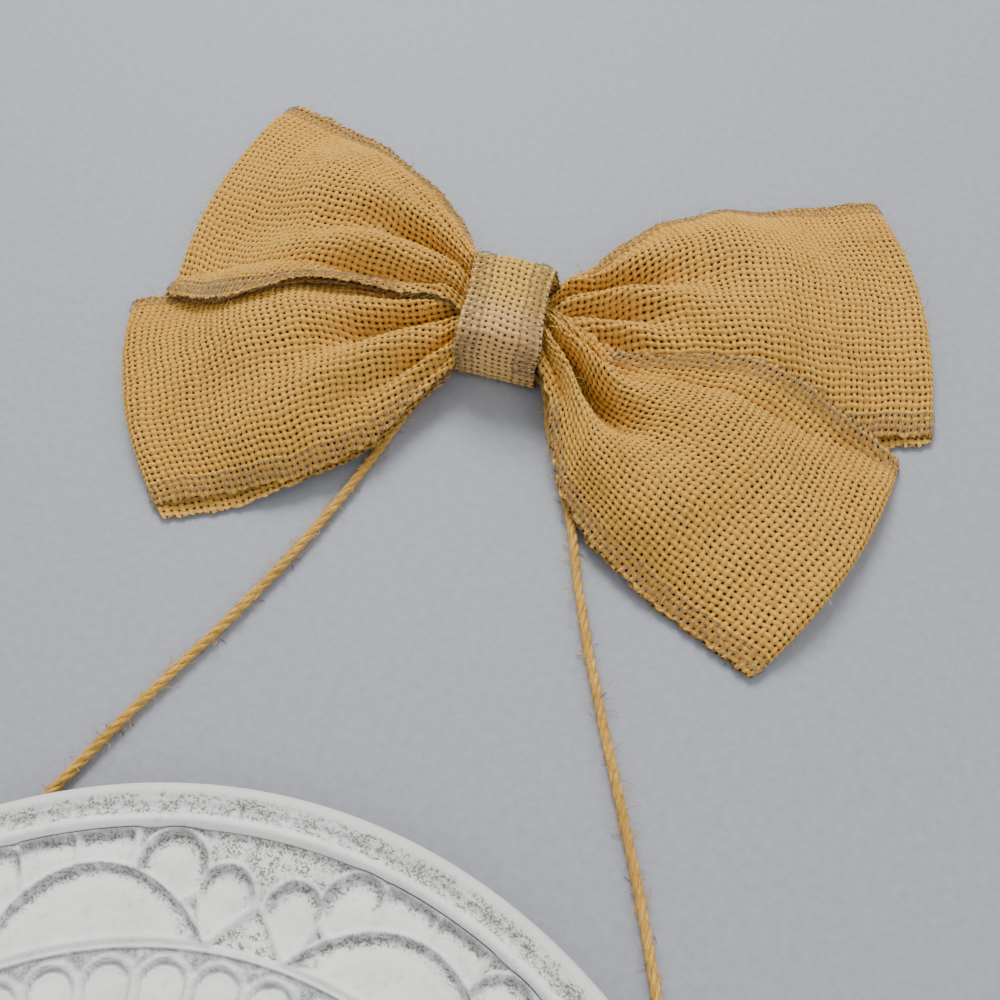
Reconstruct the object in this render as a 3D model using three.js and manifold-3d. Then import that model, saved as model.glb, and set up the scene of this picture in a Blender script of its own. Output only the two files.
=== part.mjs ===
// Round carved wall plaque with a twine hanger and a two-loop burlap bow.
// Units are millimetres, +Z up. The plaque lies on its back with its face up, its centre at the origin and
// its foot on z = 0. +Y runs from the plaque's centre to the bow's knot.

import * as THREE from 'three';
import { mergeVertices } from 'three/addons/utils/BufferGeometryUtils.js';
import Module from 'manifold-3d';

const wasm = await Module();
wasm.setup();

// ---------------------------------------------------------------- driving dimensions

const seatGap = 0.3;            // between pieces that rest on or in each other

// plaque
const plaqueRadius = 127;
const rimTop = 17;              // crest of the rim above the surface that the plaque lies on
const rimInnerRadius = 117.7;
const rimUnderside = 9;         // clear height under the overhanging rim
const fieldHeight = 13.6;       // the level that the relief is cut from
const footRadius = 80;
const rosetteRadius = 30;
const bandRadius = 94;          // raised line between the outer frieze and the arcade

// ring straps, D-rings and screws on the plaque's back
const strapOffsetX = 88;
const pivotY = 45;
const strapLength = 26;
const strapWidth = 11;
const screwEndDistance = 8.3;   // from the strap's far end to its screw
const strapSheet = 1;
const wireRadius = 1.2;
const ringWidth = 17;           // over the wire's centre line
const ringDepth = 12;
const ringDroop = 7;            // degrees that the rings hang below level
const screwShankRadius = 1.5;
const screwHeadRadius = 3.4;
const screwHeadHeight = 1.8;
const screwGrip = 3;            // depth of thread in the plaque

// twine
const twineRadius = 1.2;
const knotRadius = 3.4;
const knotLength = 9;

// bow
const knotY = 270;              // centre of the bow along the hanging axis
const wrapLength = 24;          // along X, which is the ribbon width of the centre band
const wrapThickness = 1.2;
const bandCorner = 2;           // inside corner of the centre band and of the tie
const tieThickness = 1;
const tieWidth = 6;
const neckDepth = 24.5;         // the gathered ribbon along Y
const neckHeight = 6.4;         // each gathered loop
const fanLength = 16;           // length over which a loop turns from the band's axis to its own
const puffLength = 50;          // length over which the gathered ribbon opens to its full width
const lobeHeight = 19;
const foldHeight = 9;           // height of the soft fold at the end of each lobe
const foldBulge = 5;            // how far the fold's middle stands out past its corners
const ribbonEdge = 3;           // height of a lobe at its long edges
const coverGap = 1.8;           // between the loops where the over loop lies on the under loop
const coverSlope = 0.7;
const touchdown = 84;           // distance from the knot past which a lobe rests on the surface

// Each lobe: its turn away from the X axis in degrees, its reach from the knot, its width at the fold, and
// how much further the fold's upper corner reaches than its middle.
const underLoop = {
  left: { turn: 26.8, reach: 109, width: 71, skew: 2 },
  right: { turn: 21.8, reach: 122, width: 88, skew: 3.5 },
};
const overLoop = {
  left: { turn: -16.5, reach: 108, width: 86, skew: 11 },
  right: { turn: -24.7, reach: 115, width: 77, skew: -2.5 },
};

// ---------------------------------------------------------------- derived levels

const tieDepth = neckDepth + 2 * seatGap;               // inside the tie, along Y
const wrapDepth = tieDepth + 2 * (tieThickness + seatGap);     // inside the centre band, along Y
const pivotZ = rimUnderside - seatGap - strapSheet - seatGap - wireRadius;
const eyeInner = wireRadius + seatGap;
const eyeOuter = eyeInner + strapSheet;
const twineTunnelZ = wrapThickness + seatGap + twineRadius;
const tieBottom = twineTunnelZ + twineRadius + seatGap;
const underNeckZ = tieBottom + tieThickness + seatGap;
const overNeckZ = underNeckZ + neckHeight + seatGap;
const tieTop = overNeckZ + neckHeight + seatGap + tieThickness;
const wrapTop = tieTop + seatGap + wrapThickness;
const lieZ = twineRadius + seatGap;             // centre of the twine where it lies on the surface
const twineClear = lieZ + twineRadius + 2 * seatGap;    // a lobe passes over the twine at this height

// ---------------------------------------------------------------- materials

function finish(color, roughness, metalness = 0) {
  return new THREE.MeshStandardMaterial({ color, roughness, metalness });
}

const whitewash = finish(0xdedcd4, 0.75);
const burlap = finish(0xc79f5c, 0.95);
const burlapDark = finish(0xb58c4e, 0.95);
const jute = finish(0xc39a58, 0.9);
const platedSteel = finish(0xb8a468, 0.35, 0.9);
const threadTie = finish(0x8a7350, 0.9);

// ---------------------------------------------------------------- geometry helpers

const radians = THREE.MathUtils.degToRad;
const smooth = THREE.MathUtils.smoothstep;

function toSolid(geometry) {
  const bare = geometry.index ? geometry.clone() : geometry;
  bare.deleteAttribute('normal');
  bare.deleteAttribute('uv');
  const merged = mergeVertices(bare, 1e-4);
  return new wasm.Manifold(new wasm.Mesh({
    numProp: 3,
    vertProperties: new Float32Array(merged.attributes.position.array),
    triVerts: new Uint32Array(merged.index.array),
  }));
}

function toGeometry(solid) {
  const mesh = solid.getMesh();
  const geometry = new THREE.BufferGeometry();
  geometry.setAttribute('position', new THREE.BufferAttribute(mesh.vertProperties, 3));
  geometry.setIndex(new THREE.BufferAttribute(mesh.triVerts, 1));
  geometry.computeVertexNormals();
  return geometry;
}

// Joins rings of points, each running the same way round, into one closed body with flat ends.
function loft(rings) {
  const count = rings[0].length;
  const points = rings.flat();
  const faces = [];
  for (let r = 0; r < rings.length - 1; r++) {
    for (let i = 0; i < count; i++) {
      const a = r * count + i;
      const b = r * count + (i + 1) % count;
      faces.push(a, b, a + count, b, b + count, a + count);
    }
  }
  for (const [ring, flip] of [[0, true], [rings.length - 1, false]]) {
    const centre = points.length;
    const middle = new THREE.Vector3();
    rings[ring].forEach((p) => middle.addScaledVector(p, 1 / count));
    points.push(middle);
    for (let i = 0; i < count; i++) {
      const a = ring * count + i;
      const b = ring * count + (i + 1) % count;
      faces.push(...(flip ? [centre, b, a] : [centre, a, b]));
    }
  }
  const geometry = new THREE.BufferGeometry().setFromPoints(points);
  geometry.setIndex(faces);
  geometry.computeVertexNormals();
  return geometry;
}

function circleShape(radius, sides) {
  const shape = new THREE.Shape();
  for (let i = 0; i < sides; i++) {
    const a = (i + 0.5) * 2 * Math.PI / sides;
    const x = radius * Math.cos(a);
    const y = radius * Math.sin(a);
    if (i === 0) {
      shape.moveTo(x, y);
    } else {
      shape.lineTo(x, y);
    }
  }
  shape.closePath();
  return shape;
}

function mesh(name, geometry, material) {
  const piece = new THREE.Mesh(geometry, material);
  piece.name = name;
  return piece;
}

// ---------------------------------------------------------------- plaque

// Half section from the axis out under the foot, round the rim and back over the face.
function plaqueProfile() {
  const rimWidth = plaqueRadius - rimInnerRadius;
  return [
    [0, 0], [footRadius - 1, 0], [footRadius, 1],
    [footRadius + 1, rimUnderside], [plaqueRadius - 3, rimUnderside],
    [plaqueRadius - 0.8, rimUnderside + 1.4], [plaqueRadius, rimUnderside + 3.4],
    [plaqueRadius - 0.2, rimTop - 2.4], [plaqueRadius - 1.2, rimTop - 1],
    [plaqueRadius - 0.27 * rimWidth, rimTop - 0.6], [plaqueRadius - 0.6 * rimWidth, rimTop - 1.1],
    [plaqueRadius - 0.85 * rimWidth, rimTop], [rimInnerRadius, rimTop - 0.6],
    [rimInnerRadius - 0.8, fieldHeight], [bandRadius + 2, fieldHeight],
    [bandRadius, fieldHeight + 1.2], [bandRadius - 2, fieldHeight],
    [rosetteRadius, fieldHeight], [rosetteRadius - 4, fieldHeight + 2], [0, fieldHeight + 2.4],
  ].map(([r, z]) => new THREE.Vector2(r, z));
}

function pilotHole(side) {
  const radius = screwShankRadius + seatGap;
  const depth = screwGrip + seatGap;
  const below = 1;
  const geometry = new THREE.CylinderGeometry(radius, radius, depth + below, 16);
  geometry.rotateX(Math.PI / 2);
  geometry.translate(side * strapOffsetX, screwY(), rimUnderside + (depth - below) / 2);
  return toSolid(geometry);
}

function plaque() {
  const turned = new THREE.LatheGeometry(plaqueProfile(), 72);
  turned.rotateX(Math.PI / 2);
  let solid = toSolid(turned);
  for (const side of [-1, 1]) {
    solid = solid.subtract(pilotHole(side));
  }
  return mesh('plaque', toGeometry(solid), whitewash);
}

// ---------------------------------------------------------------- ring straps and screws

function screwY() {
  return pivotY - strapLength + screwEndDistance;
}

function strapPlateZ() {
  return rimUnderside - seatGap;
}

// Sheet folded on itself round the ring's leg: a double plate with an eye at its front end.
function ringStrap(side, name) {
  const plate = 2 * strapSheet;
  const taper = 3 * eyeOuter;
  const outline = new THREE.Shape();
  outline.moveTo(0, eyeOuter);
  outline.lineTo(-strapLength, eyeOuter);
  outline.lineTo(-strapLength, eyeOuter - plate);
  outline.lineTo(-taper, eyeOuter - plate);
  outline.lineTo(0, -eyeOuter);
  outline.absarc(0, 0, eyeOuter, -Math.PI / 2, Math.PI / 2, false);
  const eye = new THREE.Path();
  eye.absarc(0, 0, eyeInner, 0, 2 * Math.PI, true);
  outline.holes.push(eye);
  const geometry = new THREE.ExtrudeGeometry(outline, {
    depth: strapWidth, bevelEnabled: false, curveSegments: 16,
  });
  // The shape's x runs along +Y and its y along +Z, so the extrusion runs along +X.
  geometry.applyMatrix4(new THREE.Matrix4().makeBasis(
    new THREE.Vector3(0, 1, 0), new THREE.Vector3(0, 0, 1), new THREE.Vector3(1, 0, 0)));
  geometry.translate(side * strapOffsetX - strapWidth / 2, pivotY, strapPlateZ() - eyeOuter);
  const radius = screwShankRadius + seatGap;
  const drill = new THREE.CylinderGeometry(radius, radius, 4 * plate, 16);
  drill.rotateX(Math.PI / 2);
  drill.translate(side * strapOffsetX, screwY(), strapPlateZ() - plate / 2);
  return mesh(name, toGeometry(toSolid(geometry).subtract(toSolid(drill))), platedSteel);
}

function strapScrew(side, name) {
  const seat = strapPlateZ() - 2 * strapSheet - seatGap;
  const tip = rimUnderside + screwGrip;
  const profile = [
    [0, seat - screwHeadHeight], [screwHeadRadius * 0.6, seat - screwHeadHeight],
    [screwHeadRadius, seat - screwHeadHeight * 0.4], [screwHeadRadius, seat],
    [screwShankRadius, seat], [screwShankRadius, tip - 1], [0, tip],
  ].map(([r, z]) => new THREE.Vector2(r, z));
  const geometry = new THREE.LatheGeometry(profile, 20);
  geometry.rotateX(Math.PI / 2);
  geometry.translate(side * strapOffsetX, screwY(), 0);
  return mesh(name, toGeometry(toSolid(geometry)), platedSteel);
}

// ---------------------------------------------------------------- D-rings

// Closed centre line: a straight leg along X on the pivot and a round bow towards +Y.
function ringPath() {
  const half = ringWidth / 2;
  const points = [[0, 0], [0.62 * half, 0]];
  points.push([0.93 * half, 0.09 * ringDepth]);
  for (const a of [15, 40, 65, 90, 115, 140, 165]) {
    points.push([half * Math.cos(radians(a)), ringDepth * (0.18 + 0.82 * Math.sin(radians(a)))]);
  }
  points.push([-0.93 * half, 0.09 * ringDepth], [-0.62 * half, 0]);
  const corners = points.map(([x, y]) => new THREE.Vector3(x, y, 0));
  return new THREE.CatmullRomCurve3(corners, true, 'centripetal');
}

function ringGeometry(side, radius) {
  const geometry = new THREE.TubeGeometry(ringPath(), 36, radius, 8, true);
  geometry.rotateX(radians(-ringDroop));
  geometry.translate(side * strapOffsetX, pivotY, pivotZ);
  return geometry;
}

function dRing(side, name) {
  return mesh(name, toGeometry(toSolid(ringGeometry(side, wireRadius))), platedSteel);
}

// The middle of the ring's round side, where the twine is tied.
function ringCrown(side) {
  const droop = radians(ringDroop);
  const crown = new THREE.Vector3(0, ringDepth * Math.cos(droop), -ringDepth * Math.sin(droop));
  return crown.add(new THREE.Vector3(side * strapOffsetX, pivotY, pivotZ));
}

// ---------------------------------------------------------------- twine and its knots

function knotDirection(side) {
  return new THREE.Vector3(side * -0.12, 0.98, -0.12).normalize();
}

// A point on the knot's axis, so far past its end.
function beyondKnot(side, distance) {
  return ringCrown(side).addScaledVector(knotDirection(side), knotLength + distance);
}

// A rounded lump wound round the ring's wire and tapering into the twine.
function twineKnot(side, name) {
  const back = -knotRadius;
  const profile = [
    [0, back], [0.7 * knotRadius, back + 0.9], [knotRadius, 0],
    [0.96 * knotRadius, 0.35 * knotLength], [0.72 * knotRadius, 0.75 * knotLength],
    [1.1 * twineRadius, knotLength - seatGap], [0, knotLength - seatGap],
  ].map(([r, z]) => new THREE.Vector2(r, z));
  const geometry = new THREE.LatheGeometry(profile, 16);
  const turn = new THREE.Quaternion().setFromUnitVectors(new THREE.Vector3(0, 1, 0), knotDirection(side));
  geometry.applyQuaternion(turn);
  geometry.translate(...ringCrown(side).toArray());
  const wire = toSolid(ringGeometry(side, wireRadius + seatGap));
  return mesh(name, toGeometry(toSolid(geometry).subtract(wire)), jute);
}

// The twine's route from knot to knot. It lies on the surface between the rim and the bow, and runs
// straight through the centre band. The left strand is nearly straight and the right one has a little slack.
const leftStrand = [
  [-81.5, 82, 2.1], [-74.2, 95, lieZ], [-66.6, 109.5, lieZ], [-58.8, 129, lieZ], [-51.1, 147, lieZ],
  [-42.7, 165.6, lieZ], [-34.9, 185.4, lieZ], [-28.2, 206, lieZ], [-22.6, 227, lieZ], [-18.9, 243, lieZ],
];
const rightStrand = [
  [89.3, 78, 2.1], [85.4, 96, lieZ], [78.6, 112, lieZ], [70.8, 130.5, lieZ], [63.8, 145.5, lieZ],
  [54.6, 164.7, lieZ], [45, 185.8, lieZ], [38.4, 202, lieZ], [33, 216.5, lieZ], [25.8, 232, lieZ],
  [19.8, 244, lieZ],
];

function twineRoute() {
  const reach = wrapLength / 2;
  const cross = (x) => new THREE.Vector3(x, twineY(), twineTunnelZ);
  const leave = (side) => new THREE.Vector3(side * (reach + 2.4), twineY() - 1.3, twineTunnelZ - 0.3);
  const strand = (list) => list.map(([x, y, z]) => new THREE.Vector3(x, y, z));
  return [
    beyondKnot(-1, 0), beyondKnot(-1, 3 * twineRadius),
    ...strand(leftStrand),
    leave(-1), cross(-reach + 1), cross(0), cross(reach - 1), leave(1),
    ...strand(rightStrand).reverse(),
    beyondKnot(1, 3 * twineRadius), beyondKnot(1, 0),
  ];
}

// The twine runs in the front corner of the centre band, nearest the plaque.
function twineY() {
  return knotY - wrapDepth / 2 + bandCorner + twineRadius;
}

function twine() {
  const route = new THREE.CatmullRomCurve3(twineRoute(), false, 'centripetal');
  const geometry = new THREE.ExtrudeGeometry(circleShape(twineRadius, 8), {
    steps: 78, bevelEnabled: false, extrudePath: route,
  });
  return mesh('twine', toGeometry(toSolid(geometry)), jute);
}

// ---------------------------------------------------------------- bow

function lobeOf(loop, s) {
  return s < 0 ? loop.left : loop.right;
}

// Half width of a lobe: gathered at the band, full width past the puff.
function halfWidth(lobe, distance) {
  const neck = neckDepth / 2;
  const open = smooth(distance, wrapLength / 2 + 1, wrapLength / 2 + puffLength);
  return neck + (lobe.width / 2 - neck) * open;
}

// How far the stations lean out at a place across the lobe, so that the last one makes the fold's outline.
function foldLean(lobe, distance, across) {
  const lean = lobe.skew * across - foldBulge * across * across;
  return lean * smooth(distance, 0.4 * lobe.reach, lobe.reach);
}

// Height of a lobe along its centre line, from the gathered neck over the puff to the soft end fold.
function crownHeight(lobe, distance) {
  const puff = smooth(distance, wrapLength / 2 + 4, 0.55 * lobe.reach);
  const fall = smooth(distance, 0.6 * lobe.reach, 0.97 * lobe.reach);
  return THREE.MathUtils.lerp(THREE.MathUtils.lerp(neckHeight, lobeHeight, puff), foldHeight, fall);
}

// A loop runs along X through the centre band and then turns to its lobe's own angle.
function turnAt(loop, s) {
  const turned = smooth(Math.abs(s), wrapLength / 2 + 1, wrapLength / 2 + fanLength);
  return radians(lobeOf(loop, s).turn) * turned;
}

function loopFrame(loop, s, w) {
  const a = turnAt(loop, s);
  return [s * Math.cos(a) - w * Math.sin(a), s * Math.sin(a) + w * Math.cos(a) + knotY];
}

function loopLocal(loop, x, y) {
  const dy = y - knotY;
  let s = x;
  let w = dy;
  for (let i = 0; i < 4; i++) {
    const a = turnAt(loop, s);
    s = x * Math.cos(a) + dy * Math.sin(a);
    w = dy * Math.cos(a) - x * Math.sin(a);
  }
  return [s, w];
}

// Underside of a lobe: down from the neck to just over the twine, then on to the surface.
function floorOf(distance, neckZ) {
  const fall = smooth(distance, wrapLength / 2 + 1, 0.5 * touchdown);
  const land = smooth(distance, 0.78 * touchdown, touchdown + 6);
  return THREE.MathUtils.lerp(neckZ, twineClear, fall) * (1 - land);
}

// Lowest and highest point of a lobe at a place across it from -1 to 1, before anything lies under it. The
// section is square at the neck and arched past it.
function lobeSpan(lobe, neckZ, distance, across) {
  const power = THREE.MathUtils.lerp(8, 2, smooth(distance, wrapLength / 2 + 1, 2.5 * wrapLength / 2));
  const body = Math.max(0, 1 - Math.abs(across) ** power);
  const low = floorOf(distance, neckZ);
  return [low, low + ribbonEdge + (crownHeight(lobe, distance) - ribbonEdge) * body];
}

// Height at which the over loop passes a spot: over the under loop with a gap, sloping off past its edge.
function coverHeight(x, y) {
  const [s, w] = loopLocal(underLoop, x, y);
  const lobe = lobeOf(underLoop, s);
  const half = halfWidth(lobe, Math.abs(s));
  const across = THREE.MathUtils.clamp(w / half, -1, 1);
  const distance = Math.abs(s) - foldLean(lobe, Math.abs(s), across);
  const outside = Math.hypot(Math.max(0, Math.abs(w) - half), Math.max(0, distance - lobe.reach));
  const top = lobeSpan(lobe, underNeckZ, Math.min(distance, lobe.reach), across)[1];
  return top + coverGap - coverSlope * outside;
}

// One closed section of a loop at a signed distance from the knot.
function loopSection(loop, neckZ, lift, station) {
  const sides = 24;
  const lobe = lobeOf(loop, station);
  const distance = Math.abs(station);
  const inNeck = distance <= wrapLength / 2 + 1;
  const past = Math.max(0, (distance / lobe.reach - 0.93) / 0.07);
  const rounding = Math.sqrt(Math.max(0.16, 1 - past * past));
  return Array.from({ length: sides }, (_, i) => {
    const a = 2 * Math.PI * i / sides;
    const across = Math.cos(a);
    const w = across * (halfWidth(lobe, distance) - (1 - rounding) * foldHeight / 2);
    const s = Math.sign(station) * (distance + foldLean(lobe, distance, across));
    const [x, y] = loopFrame(loop, s, w);
    let [low, high] = inNeck ? neckSpan(neckZ, w) : lobeSpan(lobe, neckZ, distance, across);
    if (lift && !inNeck) {
      low = Math.max(low, lift(x, y));
      high = Math.max(high, low + ribbonEdge);
    }
    const up = i === 0 || 2 * i === sides ? 0 : Math.sign(Math.sin(a));
    return new THREE.Vector3(x, y, (low + high) / 2 + up * rounding * (high - low) / 2);
  });
}

// Stations run from the left fold to the right one, closer together at the neck and at the folds.
function bowLoop(name, loop, neckZ, lift, material) {
  const neck = wrapLength / 2 + 1;
  const shares = [0.23, 0.31, 0.4, 0.5, 0.61, 0.73, 0.84, 0.93, 0.975, 1];
  const side = (lobe) => [neck, neck + 3.5, neck + 8, ...shares.map((t) => t * lobe.reach)];
  const stations = [...side(loop.left).map((s) => -s).reverse(), 0, ...side(loop.right)];
  return mesh(name, loft(stations.map((s) => loopSection(loop, neckZ, lift, s))), material);
}

function neckSpan(neckZ, w) {
  const across = Math.min(1, Math.abs(w) / (neckDepth / 2));
  const drop = 1.2 * bandCorner * across ** 6;
  return [neckZ + drop, neckZ + neckHeight - drop];
}

// A band round the gathered necks: a rounded oblong ring that runs along X.
function band(name, width, thickness, low, high, depth, material) {
  const ring = (grow) => {
    const hy = depth / 2 + grow;
    const hz = (high - low) / 2 + grow;
    const corner = bandCorner + grow;
    const path = new THREE.Shape();
    path.moveTo(-hy + corner, -hz);
    path.lineTo(hy - corner, -hz);
    path.absarc(hy - corner, -hz + corner, corner, -Math.PI / 2, 0, false);
    path.lineTo(hy, hz - corner);
    path.absarc(hy - corner, hz - corner, corner, 0, Math.PI / 2, false);
    path.lineTo(-hy + corner, hz);
    path.absarc(-hy + corner, hz - corner, corner, Math.PI / 2, Math.PI, false);
    path.lineTo(-hy, -hz + corner);
    path.absarc(-hy + corner, -hz + corner, corner, Math.PI, 1.5 * Math.PI, false);
    return path;
  };
  const outline = ring(thickness);
  outline.holes.push(new THREE.Path(ring(0).getPoints(6).reverse()));
  const geometry = new THREE.ExtrudeGeometry(outline, {
    depth: width, bevelEnabled: false, curveSegments: 6,
  });
  geometry.applyMatrix4(new THREE.Matrix4().makeBasis(
    new THREE.Vector3(0, 1, 0), new THREE.Vector3(0, 0, 1), new THREE.Vector3(1, 0, 0)));
  geometry.translate(-width / 2, knotY, (low + high) / 2);
  return mesh(name, toGeometry(toSolid(geometry)), material);
}

function gatherTie() {
  const low = tieBottom + tieThickness;
  const high = tieTop - tieThickness;
  return band('gather_tie', tieWidth, tieThickness, low, high, tieDepth, threadTie);
}

function bowWrap() {
  const high = wrapTop - wrapThickness;
  return band('bow_wrap', wrapLength, wrapThickness, wrapThickness, high, wrapDepth, burlapDark);
}

// ---------------------------------------------------------------- assembly

const group = new THREE.Group();
group.add(plaque());
for (const [side, word] of [[-1, 'left'], [1, 'right']]) {
  group.add(ringStrap(side, `ring_strap_${word}`));
  group.add(strapScrew(side, `strap_screw_${word}`));
  group.add(dRing(side, `d_ring_${word}`));
  group.add(twineKnot(side, `twine_knot_${word}`));
}
group.add(twine());
group.add(bowLoop('bow_loop_under', underLoop, underNeckZ, null, burlap));
group.add(bowLoop('bow_loop_over', overLoop, overNeckZ, coverHeight, burlap));
group.add(gatherTie());
group.add(bowWrap());

export default group;
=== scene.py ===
# Round carved wall plaque with a jute twine hanger and a two-loop burlap bow, lying face up.
# Shapes are worked out in millimetres and put down in metres.

import math

import bpy
import numpy as np
from mathutils import Matrix, Vector


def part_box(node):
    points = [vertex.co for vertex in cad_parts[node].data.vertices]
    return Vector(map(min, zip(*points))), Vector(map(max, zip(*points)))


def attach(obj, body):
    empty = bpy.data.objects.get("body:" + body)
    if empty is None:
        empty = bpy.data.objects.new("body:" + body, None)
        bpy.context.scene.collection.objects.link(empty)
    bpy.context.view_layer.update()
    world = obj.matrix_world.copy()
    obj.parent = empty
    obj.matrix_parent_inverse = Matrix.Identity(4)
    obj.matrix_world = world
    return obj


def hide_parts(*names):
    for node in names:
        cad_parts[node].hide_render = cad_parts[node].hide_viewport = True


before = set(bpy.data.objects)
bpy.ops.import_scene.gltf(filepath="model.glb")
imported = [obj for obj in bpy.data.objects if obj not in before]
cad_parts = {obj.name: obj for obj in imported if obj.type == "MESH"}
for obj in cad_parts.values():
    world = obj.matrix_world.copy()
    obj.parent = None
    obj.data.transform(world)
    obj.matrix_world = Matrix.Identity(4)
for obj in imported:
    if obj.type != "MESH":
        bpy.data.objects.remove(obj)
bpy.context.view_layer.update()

MM = 0.001


def span(node):
    """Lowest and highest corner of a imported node, in millimetres."""
    low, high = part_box(node)
    return np.array(low) / MM, np.array(high) / MM


# ------------------------------------------------------------------ sizes from the frame

wrap_low, wrap_high = span("bow_wrap")
tie_low, tie_high = span("gather_tie")

PLAQUE_RADIUS = span("plaque")[1][0]
KNOT_Y = (wrap_low[1] + wrap_high[1]) / 2
WRAP_WIDTH = wrap_high[0] - wrap_low[0]
WRAP_TOP = wrap_high[2]
WRAP_HALF_DEPTH = (wrap_high[1] - wrap_low[1]) / 2

# plaque
FACE_RADIUS = 117.0
FIELD = 13.6
RIM_UNDERSIDE = 9.0
FOOT_RADIUS = 80.0
REPEAT = 40.0                  # degrees from one lunette of the frieze to the next
LUNETTE_AXIS = 16.9
ARCADE_PITCH = 7.5

# hanger
TWINE_RADIUS = 1.2
TWINE_LAY = 10.5               # length of one full twist of the plies
KNOT_LENGTH = 9.0
KNOT_TURNS = 3.2
WIRE_RADIUS = 1.2              # of the rings
PIVOT_Y = 45.0
STRAP_X = 88.0

# bow
SEAT = 0.3
THREAD_PITCH = 2.0
RIBBON_THREADS = 42            # across the ribbon
NECK_DEPTH = 24.5
NECK_HEIGHT = 6.4
LOBE_HEIGHT = 19.0
FOLD_HEIGHT = 9.0
FOLD_BULGE = 5.0
RIBBON_EDGE = 3.0
COVER_GAP = 1.8
COVER_SLOPE = 0.7
TOUCHDOWN = 84.0
PUFF_LENGTH = 50.0
TWINE_CLEAR = 3.3
UNDER_NECK_Z = 5.5
OVER_NECK_Z = UNDER_NECK_Z + NECK_HEIGHT + SEAT
OVERLOCK = 6.0                 # width of the sewn edge


# ------------------------------------------------------------------ mesh helpers

def smooth(x, low, high):
    t = np.clip((np.asarray(x, float) - low) / (high - low), 0, 1)
    return t * t * (3 - 2 * t)


def lerp(a, b, t):
    return a + (b - a) * t


def grid_faces(rows, cols, closed_rows=False, closed_cols=False):
    """Quads over a grid of points kept row by row."""
    i = np.arange(rows if closed_rows else rows - 1)
    j = np.arange(cols if closed_cols else cols - 1)
    i, j = np.meshgrid(i, j, indexing="ij")
    i2 = (i + 1) % rows
    j2 = (j + 1) % cols
    quads = np.stack([i * cols + j, i2 * cols + j, i2 * cols + j2, i * cols + j2], -1)
    return quads.reshape(-1, 4)


def brought_in(name, data):
    """An object of the scene, at the origin."""
    thing = bpy.data.objects.new(name, data)
    bpy.context.scene.collection.objects.link(thing)
    return thing


def lay_uv(mesh, uv):
    """Gives every corner of every face the uv of its point."""
    corner = np.empty(len(mesh.loops), dtype=np.int32)
    mesh.loops.foreach_get("vertex_index", corner)
    uv = np.asarray(uv, np.float32).reshape(-1, 2)[corner]
    mesh.uv_layers.new(name="threads").data.foreach_set("uv", uv.ravel())


def make_piece(name, points, faces, material, uv=None, values=None):
    """A mesh object at the origin. points are in millimetres; uv and values hold one entry each."""
    points = np.asarray(points, float).reshape(-1, 3)
    mesh = bpy.data.meshes.new(name)
    mesh.from_pydata((points * MM).tolist(), [], [tuple(f) for f in faces])
    if uv is not None:
        lay_uv(mesh, uv)
    for key, value in (values or {}).items():
        attribute = mesh.attributes.new(key, "FLOAT", "POINT")
        attribute.data.foreach_set("value", np.asarray(value, np.float32).ravel())
    mesh.polygons.foreach_set("use_smooth", np.ones(len(mesh.polygons), dtype=bool))
    mesh.materials.append(material)
    mesh.update()
    return brought_in(name, mesh)


def unit(v):
    v = np.asarray(v, float)
    return v / np.maximum(np.linalg.norm(v, axis=-1, keepdims=True), 1e-9)


def grid_normals(points):
    along = np.gradient(points, axis=0)
    across = np.gradient(points, axis=1)
    return unit(np.cross(along, across))


def measured(route, closed=False):
    """Distance along a route at each of its points, and back at its start where it is closed."""
    if closed:
        route = np.concatenate([route, route[:1]])
    gaps = np.linalg.norm(np.diff(route, axis=0), axis=1)
    return np.concatenate([[0], np.cumsum(gaps)])


def at_places(route, along, places):
    return np.stack([np.interp(places, along, values) for values in route.T], -1)


def centripetal(corners, per):
    """A smooth route through the corners, with so many points in each stretch."""
    corners = np.asarray(corners, float)
    ends = [2 * corners[0] - corners[1], *corners, 2 * corners[-1] - corners[-2]]
    route = []
    for a, b, c, d in zip(ends, ends[1:], ends[2:], ends[3:]):
        ta, tb, tc = (max(np.linalg.norm(q - p), 1e-4) ** 0.5 for p, q in ((a, b), (b, c), (c, d)))
        leave = ((b - a) / ta - (c - a) / (ta + tb) + (c - b) / tb) * tb
        arrive = ((c - b) / tb - (d - b) / (tb + tc) + (d - c) / tc) * tb
        for t in np.arange(per) / per:
            route.append(
                b + leave * t
                + (-3 * b + 3 * c - 2 * leave - arrive) * t ** 2
                + (2 * b - 2 * c + leave + arrive) * t ** 3
            )
    route.append(corners[-1])
    return np.array(route)


def even(route, step):
    """The same route with points about step apart."""
    along = measured(route)
    places = np.linspace(0, along[-1], max(2, int(round(along[-1] / step)) + 1))
    return at_places(route, along, places), places


def carried_frames(route):
    """Two directions square to the route that don't spin round it."""
    tangent = unit(np.gradient(route, axis=0))
    side = unit(np.cross(tangent[0], [0.1, 0.2, 1.0]))
    sides = [side]
    for t in tangent[1:]:
        side = unit(side - t * np.dot(side, t))
        sides.append(side)
    sides = np.array(sides)
    return sides, np.cross(tangent, sides)


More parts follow.
